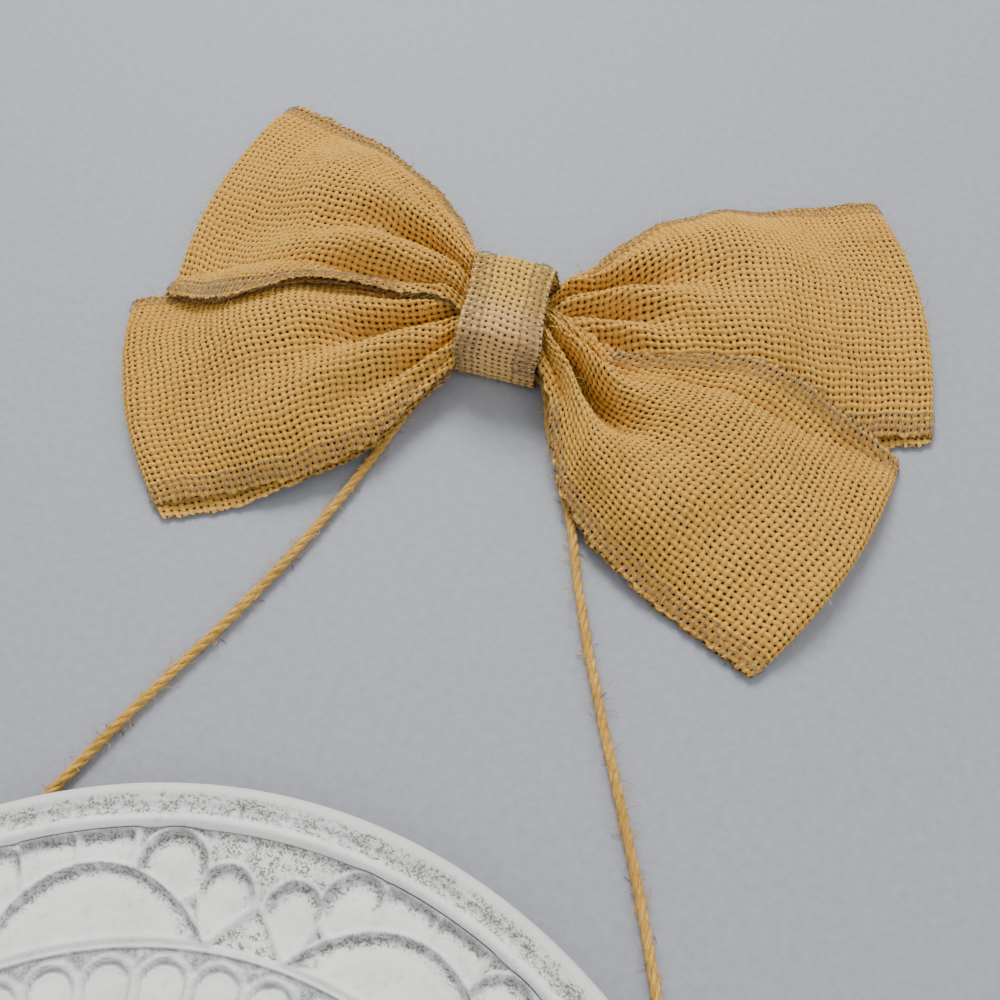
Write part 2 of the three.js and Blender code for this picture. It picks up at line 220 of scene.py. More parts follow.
def tube(route, radius, sides):
    """A closed round tube along a route: points, faces and uv of length and turn."""
    side, up = carried_frames(route)
    radius = np.broadcast_to(np.asarray(radius, float), (len(route),))
    a = np.arange(sides) * 2 * np.pi / sides
    ring = np.cos(a)[None, :, None] * side[:, None] + np.sin(a)[None, :, None] * up[:, None]
    points = (route[:, None] + radius[:, None, None] * ring).reshape(-1, 3)
    faces = [tuple(f) for f in grid_faces(len(route), sides, closed_cols=True)[:, ::-1]]
    last = (len(route) - 1) * sides
    faces.append(tuple(range(sides)))
    faces.append(tuple(range(last + sides - 1, last - 1, -1)))
    uv = np.stack(np.meshgrid(measured(route), a / (2 * np.pi), indexing="ij"), -1).reshape(-1, 2)
    return points, faces, uv


def join(parts):
    """Several (points, faces, uv) as one."""
    points, faces, uv, start = [], [], [], 0
    for p, f, t in parts:
        points.append(p)
        uv.append(t)
        faces += [tuple(int(i) + start for i in face) for face in f]
        start += len(p)
    return np.concatenate(points), faces, np.concatenate(uv)


PLY_OFFSET, PLY_RADIUS = 0.50, 0.60    # as shares of the cord's own radius


def plied(route, radius, lay, step=0.75, sides=8):
    """Three plies twisted together along a route."""
    route, along = even(route, step)
    side, up = carried_frames(route)
    offset, ply = radius * PLY_OFFSET, radius * PLY_RADIUS
    plies = []
    for k in range(3):
        a = 2 * np.pi * (along / lay + k / 3)
        lean = np.cos(a)[:, None] * side + np.sin(a)[:, None] * up
        swell = 1 + 0.07 * np.sin(along * 0.9 + 2.1 * k) + 0.05 * np.sin(along * 2.3 + k)
        plies.append(tube(route + offset * lean, ply * swell, sides))
    return join(plies)


# ------------------------------------------------------------------ shader helpers

def put(tree, target, value):
    if isinstance(value, bpy.types.NodeSocket):
        tree.links.new(value, target)
    elif value is not None:
        target.default_value = value


def fill(tree, step, given):
    """Fills a node's inputs by name, with _ for a space."""
    for name, value in given.items():
        put(tree, step.inputs[name.replace("_", " ")], value)
    return step


def node(tree, kind, **given):
    return fill(tree, tree.nodes.new(kind), given)


def sums(tree, operation, *values):
    step = tree.nodes.new("ShaderNodeMath")
    step.operation = operation
    for target, value in zip(step.inputs, values):
        put(tree, target, value)
    return step.outputs[0]


def times(tree, a, b):
    return sums(tree, "MULTIPLY", a, b)


def less(tree, a, b):
    return sums(tree, "SUBTRACT", a, b)


def either(tree, share, a, b):
    """a where share is 1 and b where it is 0."""
    return sums(tree, "ADD", times(tree, share, a), times(tree, less(tree, 1.0, share), b))


def remap(tree, value, low, high, to_low=0.0, to_high=1.0):
    step = tree.nodes.new("ShaderNodeMapRange")
    step.interpolation_type = "SMOOTHSTEP"
    for target, given in zip(step.inputs, (value, low, high, to_low, to_high)):
        put(tree, target, given)
    return step.outputs[0]


def coats(tree, base, *layers):
    """Lays colours over a base, each as a (share, colour) pair."""
    for share, colour in layers:
        step = tree.nodes.new("ShaderNodeMix")
        step.data_type = "RGBA"
        for socket, value in ((0, share), (6, base), (7, colour)):
            put(tree, step.inputs[socket], value)
        base = step.outputs[2]
    return base


def noise(tree, place, scale, detail=3.0, rough=0.55):
    step = node(tree, "ShaderNodeTexNoise", Vector=place, Scale=scale, Detail=detail, Roughness=rough)
    return step.outputs[0]


def stretched(tree, place, factors):
    step = tree.nodes.new("ShaderNodeVectorMath")
    step.operation = "MULTIPLY"
    put(tree, step.inputs[0], place)
    put(tree, step.inputs[1], factors)
    return step.outputs[0]


def object_place(tree):
    return tree.nodes.new("ShaderNodeTexCoord").outputs["Object"]


def thread_place(tree):
    step = tree.nodes.new("ShaderNodeUVMap")
    step.uv_map = "threads"
    return step.outputs[0]


def carried(tree, name):
    step = tree.nodes.new("ShaderNodeAttribute")
    step.attribute_name = name
    return step.outputs["Fac"]


def srgb(red, green, blue):
    """A colour of 0 to 255 parts as the shader's linear colour."""
    def linear(c):
        c = c / 255
        return c / 12.92 if c <= 0.04045 else ((c + 0.055) / 1.055) ** 2.4
    return (linear(red), linear(green), linear(blue), 1.0)


def new_group(name, inputs, outputs):
    tree = bpy.data.node_groups.new(name, "ShaderNodeTree")
    for kind, direction in ((inputs, "INPUT"), (outputs, "OUTPUT")):
        for label, socket_type in kind:
            tree.interface.new_socket(label, in_out=direction, socket_type=socket_type)
    return tree, tree.nodes.new("NodeGroupInput"), tree.nodes.new("NodeGroupOutput")


def place_group(tree, group, **given):
    step = tree.nodes.new("ShaderNodeGroup")
    step.node_tree = group
    return fill(tree, step, given).outputs


def new_material(name, **plain):
    """A material, its tree and its surface, with what is the same all over set on the surface."""
    material = bpy.data.materials.new(name)
    material.use_nodes = True
    tree = material.node_tree
    return material, tree, fill(tree, tree.nodes["Principled BSDF"], plain)


def coated(tree, surface, colour, height, distance, strength, roughness=None):
    """Gives a surface its colour, its fine relief and a roughness where that varies."""
    fine = node(tree, "ShaderNodeBump", Strength=strength, Distance=distance, Height=height)
    fill(tree, surface, {"Base_Color": colour, "Normal": fine.outputs[0], "Roughness": roughness})


# ------------------------------------------------------------------ shared effects

F, V = "NodeSocketFloat", "NodeSocketVector"
TREAD = 0.352                  # half width of a thread, in pitches
RISE = 0.37                    # how far a thread goes over and under
UNEVEN, UNEVEN_BELOW = 0.14, 0.06   # spread of the threads' half widths, and how much of it is thinner


def weave_group():
    """Plain weave over thread counts: height, holes, a shade for each thread, and the set on top."""
    tree, given, out = new_group(
        "plain weave", [("Threads", V), ("Fullness", F)],
        [("Height", F), ("Hole", F), ("Shade", F), ("Warp", F)])
    split = tree.nodes.new("ShaderNodeSeparateXYZ")
    put(tree, split.inputs[0], given.outputs["Threads"])
    set_of = {}
    for axis, other, sign in ((0, 1, 1.0), (1, 0, -1.0)):
        x, y = split.outputs[axis], split.outputs[other]
        number = sums(tree, "FLOOR", x)
        thread = node(tree, "ShaderNodeCombineXYZ", X=number, Y=3.0 + 5.0 * axis)
        chance = node(tree, "ShaderNodeTexWhiteNoise", Vector=thread.outputs[0])
        chance.noise_dimensions = "2D"
        thinnest = less(tree, given.outputs["Fullness"], UNEVEN_BELOW)
        tread = sums(tree, "MULTIPLY_ADD", chance.outputs[0], UNEVEN, thinnest)
        from_middle = less(tree, sums(tree, "FRACT", x), 0.5)
        ratio = sums(tree, "DIVIDE", from_middle, tread)
        bulge = less(tree, 1.0, times(tree, ratio, ratio))
        round_top = sums(tree, "SQRT", sums(tree, "MAXIMUM", bulge, 0.0))
        odd = sums(tree, "MULTIPLY_ADD", sums(tree, "MODULO", number, 2.0), -2.0 * sign, sign)
        wave = sums(tree, "COSINE", times(tree, less(tree, y, 0.5), math.pi))
        over = sums(tree, "MULTIPLY_ADD", times(tree, odd, wave), RISE, 1 - RISE)
        set_of[axis] = (times(tree, round_top, over), chance.outputs[0])
    height = sums(tree, "MAXIMUM", set_of[0][0], set_of[1][0])
    warp = sums(tree, "GREATER_THAN", set_of[0][0], set_of[1][0])
    shade = either(tree, warp, set_of[0][1], set_of[1][1])
    hole_shade = remap(tree, height, 0.08, 0.44, 1.0, 0.0)
    for label, value in (("Height", height), ("Hole", hole_shade), ("Shade", shade), ("Warp", warp)):
        put(tree, out.inputs[label], value)
    return tree


def fibre_group():
    """Fine hairs drawn out along a thread, and a slow change of tone."""
    tree, given, out = new_group(
        "plant fibre", [("Place", V), ("Along", V)], [("Hairs", F), ("Tone", F)])
    drawn_out = stretched(tree, given.outputs["Place"], given.outputs["Along"])
    put(tree, out.inputs["Hairs"], noise(tree, drawn_out, 1.0, 4.0, 0.65))
    put(tree, out.inputs["Tone"], noise(tree, object_place(tree), 55.0, 3.0, 0.6))
    return tree


weave = weave_group()
fibre = fibre_group()


# ------------------------------------------------------------------ materials

HAIR_PALE, HAIR_DARK = srgb(255, 216, 120), srgb(192, 126, 54)
SLUB = srgb(214, 146, 62)      # the darker threads and patches
# painted shade: the brown laid into the deep pleats of the loops near the knot
PAINTED_FOLD_SHADE = srgb(84, 52, 26)


def burlap(name, light, deep, hole_shade, front_tint=None):
    material, tree, surface = new_material(
        name, Roughness=0.9, Specular_IOR_Level=0.2, Sheen_Weight=0.16, Sheen_Roughness=0.5,
        Sheen_Tint=srgb(255, 232, 184))
    threads = thread_place(tree)
    cloth = place_group(tree, weave, Threads=threads, Fullness=TREAD)
    warp_hairs = place_group(tree, fibre, Place=threads, Along=(14.0, 2.2, 1.0))
    weft_hairs = place_group(tree, fibre, Place=threads, Along=(2.2, 14.0, 1.0))
    hairs = either(tree, cloth["Warp"], warp_hairs["Hairs"], weft_hairs["Hairs"])
    # a paler, pinker tint laid on the band's -Y side
    front_tinted = [(remap(tree, carried(tree, "front_tint"), 0.0, 1.0, 0.0, 0.5), front_tint)] if front_tint else []
    base = coats(
        tree, deep,
        # painted light and shade: the weave goes from the deep colour where threads dip to the light
        # colour on the crossings
        (remap(tree, cloth["Height"], 0.35, 1.0), light),
        (times(tree, cloth["Shade"], 0.34), SLUB),
        (remap(tree, hairs, 0.5, 0.72, 0.0, 0.5), HAIR_PALE),
        (remap(tree, hairs, 0.5, 0.3, 0.0, 0.5), HAIR_DARK),
        (remap(tree, warp_hairs["Tone"], 0.45, 0.75, 0.0, 0.25), SLUB),
        *front_tinted,
        # painted shade: near-black brown in the gaps between the threads
        (cloth["Hole"], hole_shade),
        # painted shade in the deep pleats
        (times(tree, carried(tree, "fold_shade"), 0.46), PAINTED_FOLD_SHADE))
    threads_up = sums(tree, "MULTIPLY_ADD", hairs, 0.45, cloth["Height"])
    coated(tree, surface, base, threads_up, 0.0009, 0.9)
    return material


def plain_thread(name, light, deep, along=(2.2, 5.0, 1.0)):
    material, tree, surface = new_material(
        name, Roughness=0.85, Specular_IOR_Level=0.25, Sheen_Weight=0.2, Sheen_Roughness=0.5)
    parts = place_group(tree, fibre, Place=thread_place(tree), Along=along)
    base = coats(
        tree, deep,
        (remap(tree, parts["Hairs"], 0.3, 0.7), light),
        (remap(tree, parts["Tone"], 0.4, 0.7, 0.0, 0.4), deep))
    coated(tree, surface, base, parts["Hairs"], 0.0003, 0.7)
    return material


def whitewash():
    """White paint over a cast, with grey painted shade in its hollows and creases and brown specks
    showing through.
    """
    material, tree, surface = new_material("whitewashed_plaster", Roughness=0.7, Specular_IOR_Level=0.3)
    place = object_place(tree)
    cloud = noise(tree, place, 60.0, 5.0, 0.65)
    patch = noise(tree, place, 420.0, 4.0, 0.7)
    grain = noise(tree, place, 900.0, 4.0, 0.7)
    speck = noise(tree, place, 1700.0, 3.0, 0.65)
    patchy = times(tree, carried(tree, "recess_shade"), remap(tree, patch, 0.25, 0.62, 0.5, 1.15))
    speckled = remap(tree, carried(tree, "speckled"), 0.05, 0.7)
    clumps = times(tree, remap(tree, patch, 0.40, 0.56), speckled)
    spots = times(tree, remap(tree, speck, 0.47, 0.55), clumps)
    stray = times(tree, remap(tree, speck, 0.60, 0.68), remap(tree, cloud, 0.42, 0.66))
    paint = coats(
        tree, srgb(255, 254, 249),
        (remap(tree, cloud, 0.35, 0.7), srgb(243, 242, 236)),
        (remap(tree, patch, 0.50, 0.74, 0.0, 0.5), srgb(204, 204, 200)),
        (times(tree, carried(tree, "bare"), 0.7), srgb(226, 223, 211)),
        # painted shade: grey laid patchily into the hollows and creases
        (remap(tree, patchy, 0.02, 0.85, 0.0, 0.8), srgb(150, 154, 156)),
        (times(tree, spots, 0.8), srgb(100, 86, 68)),
        (times(tree, stray, 0.5), srgb(150, 144, 134)))
    coated(tree, surface, paint, sums(tree, "MULTIPLY_ADD", grain, 0.5, cloud), 0.0005, 0.7,
           remap(tree, grain, 0.3, 0.7, 0.62, 0.8))
    return material


def plated_steel():
    material, tree, surface = new_material("plated_steel", Metallic=1.0)
    place = object_place(tree)
    cloud = noise(tree, place, 260.0, 4.0, 0.6)
    scratch = noise(tree, stretched(tree, place, (300.0, 2600.0, 900.0)), 1.0, 3.0, 0.6)
    plating = coats(tree, srgb(214, 196, 140), (remap(tree, cloud, 0.4, 0.7), srgb(172, 150, 98)))
    coated(tree, surface, plating, scratch, 0.00008, 0.5, remap(tree, scratch, 0.35, 0.7, 0.25, 0.5))
    return material


# the light and deep colours given to burlap are painted light on the crossings and painted shade in the
# dips; the last is painted shade in the holes
golden = burlap("burlap", srgb(255, 212, 94), srgb(248, 170, 64), srgb(32, 17, 7))
wrap_cloth = burlap(
    "burlap_wrap", srgb(255, 226, 112), srgb(255, 188, 84), srgb(60, 35, 15), front_tint=srgb(255, 206, 148))
jute = plain_thread("jute_twine", srgb(255, 208, 98), srgb(172, 116, 44), along=(0.45, 14.0, 1.0))
seam_thread = plain_thread("overlock_thread", srgb(188, 168, 136), srgb(128, 112, 88))
tie_thread = plain_thread("tie_thread", srgb(150, 126, 90), srgb(104, 84, 56))
plaster = whitewash()
steel = plated_steel()

scene = bpy.context.scene


# ------------------------------------------------------------------ hanger: twine and knots

SIDES = {-1: "left", 1: "right"}
DROOP = math.radians(7)
RING_DEPTH = 12.0
PIVOT_Z = 6.2
LIE_Z = TWINE_RADIUS + SEAT
TUNNEL_Y = 259.35
TUNNEL_Z = 2.7

LEFT_STRAND = [
    (-81.5, 82, 2.1), (-74.2, 95, LIE_Z), (-66.6, 109.5, LIE_Z), (-58.8, 129, LIE_Z),
    (-51.1, 147, LIE_Z), (-42.7, 165.6, LIE_Z), (-34.9, 185.4, LIE_Z), (-28.2, 206, LIE_Z),
    (-22.6, 227, LIE_Z), (-18.9, 243, LIE_Z),
]
RIGHT_STRAND = [
    (89.3, 78, 2.1), (85.4, 96, LIE_Z), (78.6, 112, LIE_Z), (70.8, 130.5, LIE_Z),
    (63.8, 145.5, LIE_Z), (54.6, 164.7, LIE_Z), (45, 185.8, LIE_Z), (38.4, 202, LIE_Z),
    (33, 216.5, LIE_Z), (25.8, 232, LIE_Z), (19.8, 244, LIE_Z),
]


def ring_crown(side):
    out, down = RING_DEPTH * math.cos(DROOP), RING_DEPTH * math.sin(DROOP)
    return np.array([side * STRAP_X, PIVOT_Y + out, PIVOT_Z - down])


def knot_axis(side):
    return unit(np.array([side * -0.12, 0.98, -0.12]))


def beyond_knot(side, distance):
    return ring_crown(side) + (KNOT_LENGTH + distance) * knot_axis(side)


def twine_corners():
    half = WRAP_WIDTH / 2
    through = [(x, TUNNEL_Y, TUNNEL_Z) for x in (1 - half, 0, half - 1)]
    leave = {s: (s * (half + 2.4), TUNNEL_Y - 1.3, TUNNEL_Z - 0.3) for s in SIDES}
    first, last = ([beyond_knot(s, d) for d in (0, 3 * TWINE_RADIUS)] for s in SIDES)
    return [*first, *LEFT_STRAND, leave[-1], *through, leave[1], *RIGHT_STRAND[::-1], *last[::-1]]


twine_route = centripetal(twine_corners(), 12)
points, faces, uv = plied(twine_route, TWINE_RADIUS, TWINE_LAY)
twine = make_piece("jute_twine", points, faces, jute, uv)


def knot_route(side):
    """Round the ring's wire, then in close turns round the standing part."""
    crown, axis = ring_crown(side), knot_axis(side)
    across = unit(np.cross(axis, [0, 0, 1.0]))
    up = np.cross(across, axis)
    wire = WIRE_RADIUS + SEAT + TWINE_RADIUS * 0.8
    route = []
    for a in np.linspace(0.15, 1.85, 14) * math.pi:
        route.append(crown + across * side * 0.4 + axis * wire * math.cos(a) + up * wire * math.sin(a))
    for t in np.linspace(0, 1, 46):
        a = 2 * math.pi * KNOT_TURNS * t
        turn = across * math.sin(a) + up * math.cos(a)
        route.append(crown + axis * lerp(3.3, KNOT_LENGTH - 0.6, t) + lerp(2.3, 1.75, t) * turn)
    return np.array(route)


knots = {}
for side, word in SIDES.items():
    route = centripetal(knot_route(side)[::2], 5)
    points, faces, uv = plied(route, TWINE_RADIUS * 0.92, TWINE_LAY, 0.7)
    knots[side] = make_piece(f"twine_hitch_{word}", points, faces, jute, uv)


# ------------------------------------------------------------------ bow: lobes

class Lobe:
    """One half of a loop: its turn from the X axis, its reach, its width, and its edges and pleats.

    The edges are (distance from the knot, place across) pairs. A pleat is its place across at the
    neck and further out (0 at the lower edge, 1 at the upper), its half width, its height and where
    it fades. shows is how far the layer beneath comes out past the lower edge.
    """

    def __init__(self, turn, reach, width, skew, upper, lower, pleats, shows=0.0):
        self.turn, self.reach, self.width, self.skew = math.radians(turn), reach, width, skew
        self.shows = shows
        self.upper, self.lower, self.pleats = np.array(upper, float), np.array(lower, float), pleats


UNDER = {
    -1: Lobe(26.8, 109, 71, 2,
             [(0, 11), (13, 11), (25, 18), (40, 27), (60, 33), (95, 34.5), (112, 35)],
             [(0, -10), (13, -10.5), (19, -13), (29, -20), (42, -31), (52, -35), (66, -38), (112, -37)],
             [(0.62, 0.38, 0.070, -7.0, 82), (0.28, 0.20, 0.050, -4.0, 60),
              (0.84, 0.78, 0.04, -3.0, 50), (0.10, 0.10, 0.03, -2.0, 40)], shows=4.0),
    1: Lobe(21.8, 122, 88, 3.5,
            [(0, 12), (13, 12.5), (18, 14.5), (26, 18.5), (36, 28), (50, 37), (70, 41.5), (92, 43),
             (125, 44)],
            [(0, -12), (13, -12), (25, -18), (40, -28), (60, -38), (90, -43), (125, -44)],
            [(0.76, 0.52, 0.060, -9.0, 70), (0.91, 0.86, 0.035, -2.5, 45), (0.50, 0.34, 0.05, -5.5, 60),
             (0.25, 0.20, 0.04, -3.0, 50)], shows=2.5),
}
OVER = {
    -1: Lobe(-16.5, 108, 86, 11,
             [(0, 11), (13, 12), (20, 15), (33, 27.5), (48, 36.5), (72, 44.5), (94, 47), (112, 45.5)],
             [(0, -5), (13, -4.5), (22, -7), (38, -14), (53, -25.5), (65, -36), (77, -41), (112, -43)],
             [(0.54, 0.36, 0.075, -6.5, 95), (0.80, 0.74, 0.04, -3.5, 55),
              (0.22, 0.15, 0.04, -3.0, 60)]),
    1: Lobe(-24.7, 115, 77, -2.5,
            [(0, 8), (13, 7.5), (22, 8.5), (32, 10.5), (41, 15), (62, 28), (83, 36.5), (105, 39),
             (118, 39)],
            [(0, -7), (13, -7), (20, -9), (26, -13), (34, -21.5), (45, -31), (61, -37.5),
             (80, -39.5), (118, -39)],
            [(0.47, 0.47, 0.075, -12.5, 68), (0.78, 0.70, 0.045, -4.5, 58),
             (0.20, 0.24, 0.04, -2.5, 45)]),
}
NECK = WRAP_WIDTH / 2 + 1
SKIN = 0.7                     # how far the cloth stands inside the lobe's outline
STATION, STATION_BENEATH = 0.53, 1.9   # steps along the layer on top and the layer beneath
BESIDE, BESIDE_SHARE = 2.3, 0.22       # the swell at either side of a pleat


def half_width(lobe, distance):
    return lerp(NECK_DEPTH / 2, lobe.width / 2, smooth(distance, NECK, WRAP_WIDTH / 2 + PUFF_LENGTH))


def fold_lean(lobe, distance, across):
    lean = lobe.skew * across - FOLD_BULGE * across ** 2
    return lean * smooth(distance, 0.4 * lobe.reach, lobe.reach)


def crown_height(lobe, distance):
    puff = smooth(distance, WRAP_WIDTH / 2 + 4, 0.55 * lobe.reach)
    fall = smooth(distance, 0.6 * lobe.reach, 0.97 * lobe.reach)
    return lerp(lerp(NECK_HEIGHT, LOBE_HEIGHT, puff), FOLD_HEIGHT, fall)


def floor_of(distance, neck_z):
    fall = smooth(distance, NECK, 0.5 * TOUCHDOWN)
    land = smooth(distance, 0.78 * TOUCHDOWN, TOUCHDOWN + 6)
    return lerp(neck_z, TWINE_CLEAR, fall) * (1 - land)


def lobe_span(lobe, neck_z, distance, across):
    power = lerp(8, 2, smooth(distance, NECK, 1.25 * WRAP_WIDTH))
    body = np.maximum(0, 1 - np.abs(across) ** power)
    low = floor_of(distance, neck_z)
    return low, low + RIBBON_EDGE + (crown_height(lobe, distance) - RIBBON_EDGE) * body


def turn_at(lobe, distance):
    return lobe.turn * smooth(distance, 5, 20)


def cover_height(x, y):
    """Height at which the over loop passes a spot."""
    dy = y - KNOT_Y
    best = np.full(x.shape, -1e3)
    for side, lobe in UNDER.items():
        s = x.copy()
        for _ in range(5):
            a = turn_at(lobe, np.abs(s))
            s = x * np.cos(a) + dy * np.sin(a)
            w = dy * np.cos(a) - x * np.sin(a)
        half = half_width(lobe, np.abs(s))
        across = np.clip(w / half, -1, 1)
        distance = np.abs(s) - fold_lean(lobe, np.abs(s), across)
        outside = np.hypot(np.maximum(0, np.abs(w) - half), np.maximum(0, distance - lobe.reach))
        top = lobe_span(lobe, UNDER_NECK_Z, np.minimum(distance, lobe.reach), across)[1]
        height = top + COVER_GAP - COVER_SLOPE * outside
        best = np.where((s < 0) == (side < 0), height, best)
    return best


def loop_stations(lobe, fine, coarse):
    """Distances and layers (1 on top, -1 beneath) from the knot out to the fold and back."""
    bend = FOLD_HEIGHT / 2
    straight = lobe.reach - bend
    out = [(d, 1.0) for d in np.arange(0, straight, fine)]
    turn = [(straight + bend * math.sin(a), math.cos(a)) for a in np.linspace(0, math.pi, 24)]
    back = [(d, -1.0) for d in np.arange(straight - coarse, 0, -coarse)]
    return np.array(out + turn + back)


def loop_half(lobe, side, neck_z, lifted, stations, share):
    """Points of one half of a loop, one row for each station, with the painted shade each one gets deep
    in a pleat.
    """
    distance, layer = stations[:, :1], stations[:, 1:]
    share = share[None, :]
    across = 2 * share - 1
    upper = np.interp(distance, lobe.upper[:, 0], lobe.upper[:, 1])
    lower = np.interp(distance, lobe.lower[:, 0], lobe.lower[:, 1])
    beneath = smooth(-layer, 0.0, 0.9) * smooth(distance, 0.5 * lobe.reach, 0.85 * lobe.reach)
    lower = lower - lobe.shows * beneath
    w = lerp(lower, upper, share)
    s = side * (distance + fold_lean(lobe, distance, across))
    a = turn_at(lobe, np.abs(s))
    x = s * np.cos(a) - w * np.sin(a)
    y = s * np.sin(a) + w * np.cos(a) + KNOT_Y
    low, high = lobe_span(lobe, neck_z, distance, across)
    if lifted:
        low = lerp(low, np.maximum(low, cover_height(x, y)), smooth(distance, 8, NECK))
        high = np.maximum(high, low + RIBBON_EDGE)
    puff = smooth(distance, 9, 20) * (1 - smooth(distance, 34, 66))
    low = low + SKIN + (1.6 * puff - 1.3 * smooth(low, 1.5, 4) if lifted else 0)
    high = high - SKIN + (3.4 if lifted else 1.4) * puff
    grown = smooth(distance, 4, 20)
    fold = np.zeros_like(x)
    for near, far, width, height, fade in lobe.pleats:
        place = lerp(near, far, smooth(distance, NECK, fade))
        spread = width * lerp(0.8, 2.0, smooth(distance, NECK, fade * 1.2))
        height = height * (1 - smooth(distance, 0.4 * fade, 1.25 * fade))
        fold += height * np.exp(-((share - place) / spread) ** 2)
        for beside in (-BESIDE, BESIDE):
            off = (share - place - beside * spread) / (1.1 * spread)
            fold -= BESIDE_SHARE * height * np.exp(-off ** 2)
    ripple = (0.55 * np.sin(distance * 0.13 + 5 * share + side) * np.sin(7.5 * share + 2 * side)
              + 0.30 * np.sin(distance * 0.29 - 9 * share + 2 * side))
    fold = (fold + ripple * smooth(distance, 30, 60)) * grown
    near_edge = np.minimum(share, 1 - share) * (upper - lower)
    thin = lerp(0.35, 1.0, smooth(near_edge, 0, 11)) if lifted else 1.0
    high = np.maximum(low + (high - low) * thin + fold, low + 1.1)
    low = low + 0.25 * np.sin(distance * 0.2 + 9 * share) * grown * (low > 1.2)
    z = (low + high) / 2 + layer * (high - low) / 2
    # painted shade: darker where the cloth on top dips into a pleat near the knot
    fold_shade = smooth(-fold, 2.2, 8.0) * (layer > 0) * (1 - smooth(distance, 22, 58))
    return np.stack([x, y, np.broadcast_to(z, x.shape), fold_shade], -1)


def evened(points, columns):
    """The same rows with their points evenly spaced over the folds, so the threads keep their pitch."""
    rows = []
    for row in points:
        along = measured(row[:, :3])
        rows.append(at_places(row, along, np.linspace(0, along[-1], columns)))
    return np.array(rows)


def thread_heights(uv):
    """Height of the plain weave at places counted in threads, from 0 in a hole to 1 on a crossing."""
    best = np.zeros(uv.shape[:-1])
    for axis, other, sign in ((0, 1, 1.0), (1, 0, -1.0)):
        x, y = uv[..., axis], uv[..., other]
        number = np.floor(x)
        ratio = (x - number - 0.5) / TREAD
        round_top = np.sqrt(np.maximum(0, 1 - ratio ** 2))
        odd = sign * (1 - 2 * np.mod(number, 2))
        over = 1 - RISE + RISE * odd * np.cos(np.pi * (y - 0.5))
        best = np.maximum(best, round_top * over)
    return best


def wander(uv):
    """Threads that drift a little from straight."""
    x, y = uv[..., 0], uv[..., 1]
    dx = 0.30 * np.sin(y * 0.33 + 1.7 * np.sin(x * 0.05)) + 0.10 * np.sin(y * 1.3 + x * 0.21)
    dy = 0.22 * np.sin(x * 0.17 + 0.8) + 0.11 * np.sin(x * 0.9 + 2 * np.sin(y * 0.3))
    dy += 0.06 * np.sin(x * 2.1 + y)
    return np.stack([x + dx, y + dy], -1)


MEAN_HEIGHT = 0.62             # of the weave, so that the threads stand as far out as in


def woven(points, uv, relief, depth=0.82):
    """Raises the threads out of a smooth sheet. relief is 1 where it is fine enough to hold them."""
    normal = grid_normals(points)
    height = (thread_heights(uv) - MEAN_HEIGHT) * depth * relief
    return points + normal * height[..., None], normal


def bow_loop(name, lobes, neck_z, lifted):
    """A closed band of ribbon, flattened to a left and a right lobe."""
    columns = 4 * RIBBON_THREADS - 9
    share = np.linspace(1, 0, 3 * columns)
    left, right = (loop_stations(lobes[side], STATION, STATION_BENEATH) for side in (-1, 1))
    halves = [
        loop_half(lobes[-1], -1, neck_z, lifted, left, share),
        loop_half(lobes[1], 1, neck_z, lifted, right, share)[::-1],
    ]
    sheet = evened(np.concatenate(halves), columns)
    sheet, fold_shade = sheet[..., :3].copy(), sheet[..., 3]
    share = np.linspace(1, 0, columns)
    layer = np.concatenate([left[:, 1], right[::-1, 1]])
    *along, length = measured(sheet[:, len(share) // 2], closed=True)
    along = np.array(along)
    threads = 2 * round(length / THREAD_PITCH / 2)
    tucked = lerp(0.62, 1.0, smooth(np.concatenate([left[:, 0], right[::-1, 0]]), 8, 62))[:, None]
    across = 0.5 + (share[None] - 0.5) * tucked
    plain = np.stack([
        np.repeat((along / length * threads)[:, None], columns, 1), across * RIBBON_THREADS], -1)
    uv = wander(plain)
    out = np.stack([sheet[:, 0] - sheet[:, 1], sheet[:, -1] - sheet[:, -2]])
    out = unit(out)
    scallop = 0.35 * np.sin(along * 2 * np.pi / 4.3) + 0.25 * np.sin(along * 0.71)
    # the sewing pulls the edge in every few threads
    for edge, column in ((0, 0), (1, -1)):
        sheet[:, column] += out[edge] * (0.9 * scallop[:, None])
    relief = smooth(layer, -0.6, 0.2)[:, None]
    base = sheet.copy()
    sheet, normal = woven(sheet, uv, relief)
    faces = grid_faces(len(sheet), len(share), closed_rows=True)
    piece = make_piece(name, sheet, faces, golden, uv, {"fold_shade": fold_shade})
    return piece, base, normal, length


loops = {}
for word, *shape in (("under", UNDER, UNDER_NECK_Z, False), ("over", OVER, OVER_NECK_Z, True)):
    loops[word] = bow_loop(f"ribbon_loop_{word}", *shape)


# ------------------------------------------------------------------ bow: centre band and its tie

def oblong(depth, low, high, corner, count):
    """Points (y, z) evenly round an oblong with soft corners, starting at its front, and its girth."""
    hy, hz = depth / 2 - corner, (high - low) / 2 - corner
    a = np.linspace(0, 2 * np.pi, 4 * count, endpoint=False) - np.pi
    ring = np.stack([
        np.sign(np.cos(a)) * hy + corner * np.cos(a), np.sign(np.sin(a)) * hz + corner * np.sin(a)], -1)
    ring[:, 1] += (low + high) / 2
    along = measured(ring, closed=True)
    places = np.linspace(0, along[-1], count + 1)[:-1]
    return at_places(np.concatenate([ring, ring[:1]]), along, places), along[-1]


